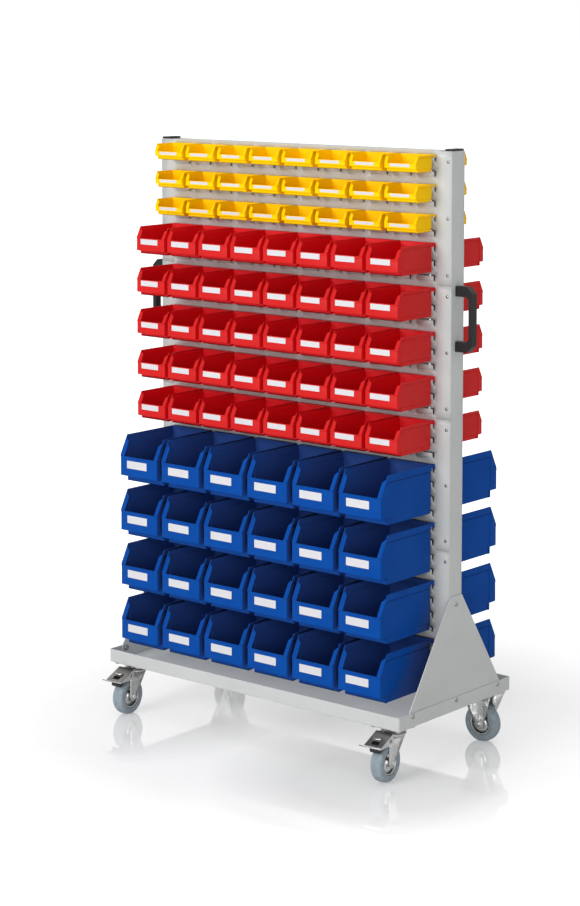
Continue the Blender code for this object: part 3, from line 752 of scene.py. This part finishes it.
def labelPocket(kind):  # low rails that hold the label at its ends and foot
    front = bins["seat"] + kind["depth"]
    (width, height), (x, z) = kind["label"], kind["labelAt"]
    half, rail = width / 2 + labels["gap"], labels["rail"]
    low = z - height / 2 - labels["gap"]
    high = low + height + labels["gap"]
    spans = (
        (-half - rail, half + rail, low - rail, low), (-half - rail, -half, low, high),
        (half, half + rail, low, high))
    back = front - labels["railDepth"]
    rails = [
        prism([(left, foot), (right, foot), (right, head), (left, head)], back, front, 1)
        for left, right, foot, head in spans]
    return shifted(joined(rails), x)


def labelCard(kind):  # rounded card on the front wall
    face = bins["seat"] + kind["depth"] - bins["proud"]
    width, height = kind["label"]
    card = softBox(width / 2, height / 2, labels["corner"], labels["cornerSteps"])
    return prism(card + kind["labelAt"], face, face + labels["thick"], 1)


def buildRows():  # each row is one bin repeated at the pitch, and the rows of a kind are alike
    for name, kind in bins["kinds"].items():
        one = joined([binShell(kind), binCheeks(kind), binLip(kind), labelPocket(kind)])
        spots = [((i - (kind["count"] - 1) / 2) * kind["pitch"], 0, 0) for i in range(kind["count"])]
        row = repeated(one, spots)
        cards = repeated(labelCard(kind), spots)
        for side in ("front", "back"):
            for index, cell in enumerate(kind["cells"]):
                tag = "%s_%s_%d" % (side, name, index + 1)
                height = frameTop - cell * panels["pitch"] - kind["below"]
                makePiece("binRow_" + tag, [onSide(row, side, height)], name, "row_" + tag,
                          ["bins_" + tag])
                makePiece("labels_" + tag, [onSide(cards, side, height)], "paper", "row_" + tag)


buildRows()
print("bins made")


# Casters, built round their own axle: x along the axle, -y the trailing side, z up from the floor

casters = dict(
    x=450, y=198, turn=5.5 * degree, trail=36, axleZ=50, axle=5, gap=37, sheet=2.6,
    plateLength=95, plateWidth=75, plateThick=3.5, plateCorner=8, plateEdge=0.5, plateTop=138,
    nut=(13, 3), nutInset=8)


def wheelPlace(name):  # where an axle's middle is, and how far the caster is turned about Z
    side = 1 if name.endswith("right") else -1
    if name.startswith("back"):
        return (side * casters["x"], centreY + casters["y"], 0), math.pi / 2
    turn, trail = casters["turn"], casters["trail"]
    x, y = side * casters["x"] + trail * math.sin(turn), centreY - casters["y"] - trail * math.cos(turn)
    return (x, y, 0), turn


def tagged(name):  # front_left becomes FrontLeft
    return "".join(word.title() for word in name.split("_"))


def placed(parts, name):  # from the axle's own place to its caster's
    place, turn = wheelPlace(name)
    return [moved(part, place, turn) for part in parts]


# Profiles are (along the axle, radius); sidewall counts from the rim's corner, shoulder from the tread's
wheels = dict(
    tread=50, half=17, rim=31, steps=64, grooves=15, groovePitch=0.95, grooveDepth=0.45,
    sidewall=((-3.2, 0.4), (-0.8, 1.6), (0, 3.5), (0, 10)),
    shoulder=((-0.6, -6), (-2, -3.4), (-4.4, -1.6), (-8.4, -0.6)),
    hub=17, boreGap=0.3, rimFoot=13.4,
    disc=((17, 9.5), (16, 10.5), (10, 11.5), (7.2, 14), (6.2, 18), (6.4, 21.5), (9, 23.6), (10.4, 24),
          (10.4, 27.2), (12.6, 27.6), (14.1, 28.6), (14.2, 30.2)),
    # black ring in the groove between the rim's bead and the disc: painted shade, a dark sheet where the
    # groove lies in shade
    grooveShadeRing=((10.2, 24.1), (11.2, 24.4), (11.2, 27), (10.2, 27.2)))


def buildWheel(name):  # closed profiles spun round the axle; every second ring of the tread is a groove
    rim, tread = wheels["rim"], wheels["tread"]
    wave = np.arange(wheels["grooves"])
    along = (wave - wheels["grooves"] // 2) * wheels["groovePitch"]
    crown = np.stack([along, tread - wheels["grooveDepth"] * (wave % 2)], -1)
    flank = np.concatenate([
        np.array(wheels["sidewall"]) + (wheels["half"], rim),
        np.array(wheels["shoulder"]) + (wheels["half"], tread)])
    face = np.array([
        (wheels["hub"], casters["axle"] + wheels["boreGap"]), *wheels["disc"], (wheels["rimFoot"], rim)])
    ring = np.array(wheels["grooveShadeRing"])
    pieces = (
        ("tyre", [np.concatenate([flank * (-1, 1), crown, flank[::-1]])], "rubber", ["tyre_" + name]),
        ("disc", [np.concatenate([face, face[::-1] * (-1, 1)])], "disc", ["rim_" + name]),
        # black rings in the rim's groove: painted shade
        ("grooveShadeRings", [ring * (-1, 1), ring], "black", ()))
    for title, profiles, look, instead in pieces:
        parts = [hoop(turnedRings(profile, wheels["steps"])) for profile in profiles]
        parts = placed([shifted(part, z=casters["axleZ"]) for part in parts], name)
        makePiece(title + tagged(name), parts, look, "wheel_" + name, instead)


# A leg is (half width, the wing's width, top, the sides with a wing). Its rows lie at shares of the half
# width below the axle and of the top above it; crease is a share of the wing's width
legs = dict(
    fork=(13, 30, 67.7, (1,)), bracket=(15, 36, 86.2, (-1, 1)), fold=26 * degree,
    below=(-0.995, -0.94, -0.8, -0.5), above=(0, 0.3, 0.6, 1), crease=0.12, creaseLift=0.6)


def legSheets(half, wing, top, wingSides):
    # rows climb from the round foot to the top; across each row lie the flat, of the foot circle's
    # chord or the full width, and beyond a crease the wing, which widens with height and folds out
    z = np.concatenate([np.array(legs["below"]) * half, np.array(legs["above"]) * top])
    flat = np.where(z < 0, np.sqrt(np.clip(half ** 2 - z ** 2, 0, None)), half)
    spread = wing * np.clip(z / top, 0, 1)
    lead = np.array([-1, -1, -1, 0, 1, 1, 1])[:, None]  # wing's edge, crease, flat's edge, middle and back
    share = np.array([1, legs["crease"], 0, 0, 0, legs["crease"], 1])[:, None]
    fan = spread * share * np.isin(lead, wingSides)
    across = lead * (flat + fan * math.cos(legs["fold"]))
    out = fan * math.sin(legs["fold"]) * np.where(share == 1, 1, legs["creaseLift"])
    sheets = []
    for side in (-1, 1):
        base = side * (casters["gap"] + casters["sheet"]) / 2
        sheets.append(shifted(spanned((base + side * out).T, across.T, z[:, None]), z=casters["axleZ"]))
    return sheets


axles = dict(
    overrun=1, steps=16, washer=((0, 9), (1, 9), (1.2, 8.6)), washerSteps=20, seat=0.8,
    nut=(13, 4.8), bolt=(14, 4.4), boltSteps=16)


def axleParts():  # shaft with a washer at each end, a bolt's head on the left and its nut on the right
    reach = casters["gap"] / 2 + casters["sheet"]
    end = reach + axles["overrun"]
    parts = [skin(turnedRings([(-end, casters["axle"]), (end, casters["axle"])], axles["steps"]))]
    heads = {-1: domeBolt(*axles["bolt"], 0, -1, axles["boltSteps"]), 1: hexBolt(*axles["nut"], 0, 1)}
    for side, head in heads.items():
        washer = (np.array(axles["washer"]) + (reach, 0)) * (side, 1)
        parts.append(skin(turnedRings(washer, axles["washerSteps"])))
        parts.append(shifted(head, side * (reach + axles["seat"])))
    return [shifted(part, z=casters["axleZ"]) for part in parts]


def topPlate(width, length):  # chamfered plate and its four nuts below
    top, edge, corner = casters["plateTop"], casters["plateEdge"], casters["plateCorner"]
    low = top - casters["plateThick"]
    steps = ((edge, low), (0, low + edge), (0, top - edge), (edge, top))
    nutX, nutY = width / 2 - casters["nutInset"], length / 2 - casters["nutInset"]
    nuts = repeated(hexBolt(*casters["nut"], 2, -1), [
        (x * nutX, y * nutY, low) for x in (-1, 1) for y in (-1, 1)])
    return [skin(insets(width / 2, length / 2, corner, corner, steps)), nuts]


# Cup and crown are (up, out): the cup from the plate's underside and its radius, the crown from its top
swivels = dict(
    cupRadius=29, cup=((1, -3), (0, 0), (-2, 0), (-8, -2.5), (-10, -6)),
    crownTop=124.2, crownRadius=34, crown=((-9, -5), (-9, -1.5), (-7, 0), (-4, 0), (-1.5, -3), (0, -8)),
    steps=40, bridgeHalf=20, bridgeBack=20.5, bridgeOverlap=2.5, bridgeCorner=4, bridgeDrops=(8, 5))


def buildSwivel(name):  # plate and cup stay, while crown, bridge and fork turn about the pivot
    place, turn = wheelPlace(name)
    side = 1 if name.endswith("right") else -1
    pivot = (side * casters["x"], centreY - casters["y"], 0)
    low = casters["plateTop"] - casters["plateThick"]
    cup = np.array(swivels["cup"]) + (low, swivels["cupRadius"])
    parts = topPlate(casters["plateLength"], casters["plateWidth"])
    parts.append(skin(turnedRings(cup, swivels["steps"], 2)))
    makePiece("casterPlate" + tagged(name), [moved(part, pivot) for part in parts], "steel",
              "frame", ["caster_plate_" + name])
    top, back = swivels["crownTop"], swivels["bridgeBack"]
    crown = np.array(swivels["crown"]) + (top, swivels["crownRadius"])
    outline = softBox(swivels["bridgeHalf"], back + swivels["bridgeOverlap"], swivels["bridgeCorner"])
    bridge = prism(outline + (0, -back), *[top - drop for drop in swivels["bridgeDrops"]], 2)
    crown = moved(skin(turnedRings(crown, swivels["steps"], 2)), pivot)
    solid = [crown, moved(bridge, pivot, turn)] + placed(axleParts(), name)
    makePiece("crown" + tagged(name), solid, "steel", "swivel_" + name)
    makePiece("fork" + tagged(name), placed(legSheets(*legs["fork"]), name), "steel",
              "swivel_" + name, ["fork_" + name], sheet=casters["sheet"])
    buildPedal(name)


# Heights count from the axle; out is the trailing side; the window is (left, right, near, far)
pedals = dict(
    half=25.5, sheet=2, rear=5, rearUp=79.5, tip=63, tipUp=56, nose=4.5, cheekOut=24, cheekUp=51, heelUp=55,
    seam=0.6, drop=1, shift=1.8, edge=0.7, sharp=30, window=(-11, 11, 42, 56),
    tongueLift=5, tongueRun=13, tongueGap=0.5, tongueSheet=1.6, tongueRows=5,
    shoe=((17, 53), (40, 40), (49, 36.5), (53, 42), (50, 54), (17, 68)), shoeHalf=14,
    pinOut=15, pinUp=62, pin=(9, 2), pinSteps=16,
    wireRadius=1.2, wireEdge=0.7, wireSteps=10, wireOut=58.5, wireUp=51.6, wireEnds=(-42, 14))


def pedalSheets():
    # top, and cheeks with nose, as point grids: the window is a cell of the top left out,
    # and the cheeks' lower edge runs straight from heel to cheek to the nose's
    half, tip, seam = pedals["half"], pedals["tip"], pedals["seam"]
    left, right, near, far = pedals["window"]
    x = np.array([-half, left, right, half])
    out = np.array([pedals["rear"], pedals["cheekOut"], near, far, tip])
    up = pedalUp(out)
    points, corners, counts = spanned(x, -out[:, None], up[:, None])
    keep = np.ones(len(counts), bool)
    keep[2 * (len(x) - 1) + 1] = False  # the window, in the third row's middle
    plate = points, corners.reshape(-1, 4)[keep].ravel(), counts[keep]
    noseLow = pedals["tipUp"] - pedals["nose"]
    low = np.interp(
        out, [pedals["rear"], pedals["cheekOut"], tip], [pedals["heelUp"], pedals["cheekUp"], noseLow])
    points, corners, counts = joined([
        spanned(-half, -out, [up - seam, low]), spanned(half, -out, [up - seam, low]),
        spanned(x, -tip, [[pedals["tipUp"] - seam], [noseLow]])])
    skirt = points * (1 - pedals["sheet"] / half / 2, 1, 1), corners, counts
    return [shifted(part, 0, pedals["shift"], -pedals["drop"]) for part in (plate, skirt)]


def pedalUp(out):  # height of the top's straight slope at a distance out
    fall = (pedals["rearUp"] - pedals["tipUp"]) / (pedals["tip"] - pedals["rear"])
    return pedals["rearUp"] - (out - pedals["rear"]) * fall


def pedalTongue():  # flap below the window, raised by the lift times the sine of a quarter turn
    left, right, near, far = pedals["window"]
    lift = np.linspace(0, 1, pedals["tongueRows"])
    out = near - pedals["tongueRun"] * (1 - lift)
    up = pedalUp(out) + pedals["tongueLift"] * np.sin(lift * math.pi / 2) - pedals["seam"]
    return spanned((left + pedals["tongueGap"], right - pedals["tongueGap"]), -out[:, None], up[:, None])


def pedalFittings():  # a pin at each cheek, and the return wire
    parts = []
    for side in (-1, 1):
        pin = domeBolt(*pedals["pin"], 0, side, pedals["pinSteps"])
        parts.append(shifted(pin, side * pedals["half"], -pedals["pinOut"], pedals["pinUp"]))
    edge, thick, (start, end) = pedals["wireEdge"], pedals["wireRadius"], pedals["wireEnds"]
    wire = skin(turnedRings(
        [(start, edge), (start + edge, thick), (end - edge, thick), (end, edge)], pedals["wireSteps"]))
    return parts + [shifted(wire, 0, -pedals["wireOut"], pedals["wireUp"])]


def buildPedal(name):  # everything that goes down with the brake
    plate, skirt = pedalSheets()
    edges = dict(sheet=pedals["sheet"], bevel=pedals["edge"], sharp=pedals["sharp"])
    # the brake's shoe on the tyre, black: partly a real part, partly painted shade standing for the shade
    # under the pedal
    shoe = prism(
        [(-out, up) for out, up in pedals["shoe"][::-1]], -pedals["shoeHalf"], pedals["shoeHalf"], 0)
    pieces = (
        ("pedal", [plate], "pedal", dict(instead=["pedal_" + name], **edges)),
        ("pedalSkirt", [skirt], "steel", edges),
        ("pedalTongue", [pedalTongue()], "disc", dict(sheet=pedals["tongueSheet"])),
        ("brakePad", [shoe], "black", {}),
        ("pedalPins", pedalFittings(), "pedal", {}))
    for title, parts, look, extra in pieces:
        parts = [shifted(part, z=casters["axleZ"]) for part in parts]
        makePiece(title + tagged(name), placed(parts, name), look, "brake_" + name, **extra)


def buildBracket(name):  # plate, axle and two winged legs, all fixed
    solid = topPlate(casters["plateWidth"], casters["plateLength"]) + axleParts()
    makePiece("bracketPlate" + tagged(name), placed(solid, name), "steel", "frame")
    makePiece("bracket" + tagged(name), placed(legSheets(*legs["bracket"]), name), "steel", "frame",
              ["bracket_" + name], sheet=casters["sheet"])


for name in ("front_left", "front_right", "back_left", "back_right"):
    buildWheel(name)
    (buildSwivel if name.startswith("front") else buildBracket)(name)
print("casters made")


# Floor, light and camera, in metres

studio = dict(
    worldLight=0.45, worldSeen=1, worldGloss=1,
    camera=(3.8918, -4.7268 + centreY * mm, 1.9175), yaw=0.6954, pitch=0.1019, lens=91.523,
    shift=(-0.0009, -0.22), cameraEnd=200,
    lights=(  # name, place, target, size, watts
        ("key", (-0.8, -5.8, 3), (0, 0, 0.7), (3.2, 2.4), 204),
        ("fill", (3.8, -5.2, 1.8), (0, 0, 0.7), (4, 3), 90),
        ("top", (0, 0.3, 6.5), (0, 0.3, 0), (4, 4), 90),
        ("tray", (0, centreY * mm, 0.192), (0, centreY * mm, 0.1), (1, 0.42), 0.5),
    ))
floors = dict(
    size=400, tones=((0.64, 0.64, 0.64, 1), (0.61, 0.61, 0.61, 1)), mottle=(3, 3), sheen=(30, 3),
    rough=(0.14, 0.18), coatRough=0.05, coatIndex=2.4,
    # glow near the cart and far from it: the weaker glow near the cart is painted shade
    glow=(0.4, 1), glowReach=(0.6, 2), glowLight=0.3, glossReach=(0.22, 0.46))


def floorLook():
    # paper that glows for the camera, more so away from the cart, and less as a light: the weaker glow near
    # the cart leaves the floor round it darker, painted shade added to its real shadow. It is polished
    # round the wheels only, by the distance to the nearest one
    look = lookOf(
        "floorPaper", Emission_Strength=1.0, Specular_IOR_Level=0, Coat_Roughness=floors["coatRough"],
        Coat_IOR=floors["coatIndex"])
    shade = look.blend(look.spread(look.noise(*floors["mottle"])), *floors["tones"])
    away = look.node("ShaderNodeVectorMath", {"operation": "LENGTH"}, {0: look.place()}, "Value")
    glow = look.between(away, *floors["glowReach"], *floors["glow"])
    seen = look.node("ShaderNodeLightPath", output="Is Camera Ray")
    glow = glow * look.between(seen, 0, 1, floors["glowLight"], 1)
    look.feed(look.shader.inputs["Emission Color"], look.blend(glow, (0, 0, 0, 1), (1, 1, 1, 1)))
    quarter = look.node("ShaderNodeVectorMath", {"operation": "ABSOLUTE"}, {0: look.place()}, "Vector")
    wheel = (casters["x"] * mm, (casters["y"] + casters["trail"] / 2) * mm, 0)
    near = look.node("ShaderNodeVectorMath", {"operation": "DISTANCE"}, {0: quarter, 1: wheel}, "Value")
    look.feed(look.shader.inputs["Coat Weight"], look.between(near, *floors["glossReach"], 1, 0))
    return look.finish(shade, look.spread(look.noise(*floors["sheen"]), *floors["rough"]))


def buildFloor():
    half = floors["size"] / 2
    mesh = bpy.data.meshes.new("floor")
    corners = [(-half, -half, 0), (-half, half, 0), (half, -half, 0), (half, half, 0)]
    mesh.from_pydata(corners, [], [(2, 3, 1, 0)])
    mesh.materials.append(floorLook())
    floor = bpy.data.objects.new("floor", mesh)
    bpy.context.scene.collection.objects.link(floor)


def aimed(item, place, target):  # its -Z axis points at the target, by a tilt and a level turn
    direction = np.array(target, float) - np.array(place, float)
    flat = math.hypot(direction[0], direction[1])
    tilt, turn = math.atan2(direction[2], flat), math.atan2(-direction[0], direction[1])
    item.location = place
    item.rotation_euler = (math.pi / 2 + tilt, 0, turn)


def buildWorld():  # white backdrop, seen and mirrored brighter than it lights
    look = Look(bpy.data.worlds.new("studio"), "Background", Color=(1, 1, 1, 1))
    mirrored = look.node("ShaderNodeLightPath", output="Is Glossy Ray")
    seen = Wire(look, mirrored.socket.node.outputs["Is Camera Ray"])
    strength = look.between(mirrored, 0, 1, studio["worldLight"], studio["worldGloss"])
    look.feed(look.shader.inputs["Strength"], look.between(seen, 0, 1, strength, studio["worldSeen"]))
    bpy.context.scene.world = look.owner
    bpy.context.scene.view_settings.view_transform = "Standard"


def buildLights():
    for name, place, target, size, power in studio["lights"]:
        light = bpy.data.lights.new(name, "AREA")
        light.shape = "RECTANGLE"
        light.size, light.size_y = size
        light.energy = power
        item = bpy.data.objects.new(name, light)
        bpy.context.scene.collection.objects.link(item)
        aimed(item, place, target)


def buildCamera():
    lens = bpy.data.cameras.new("camera")
    lens.lens = studio["lens"]
    lens.shift_x, lens.shift_y = studio["shift"]
    lens.clip_end = studio["cameraEnd"]
    camera = bpy.data.objects.new("camera", lens)
    bpy.context.scene.collection.objects.link(camera)
    camera.location = studio["camera"]
    camera.rotation_euler = (math.pi / 2 - studio["pitch"], 0, studio["yaw"])
    bpy.context.scene.camera = camera


buildFloor()
buildWorld()
buildLights()
buildCamera()
print("studio made")
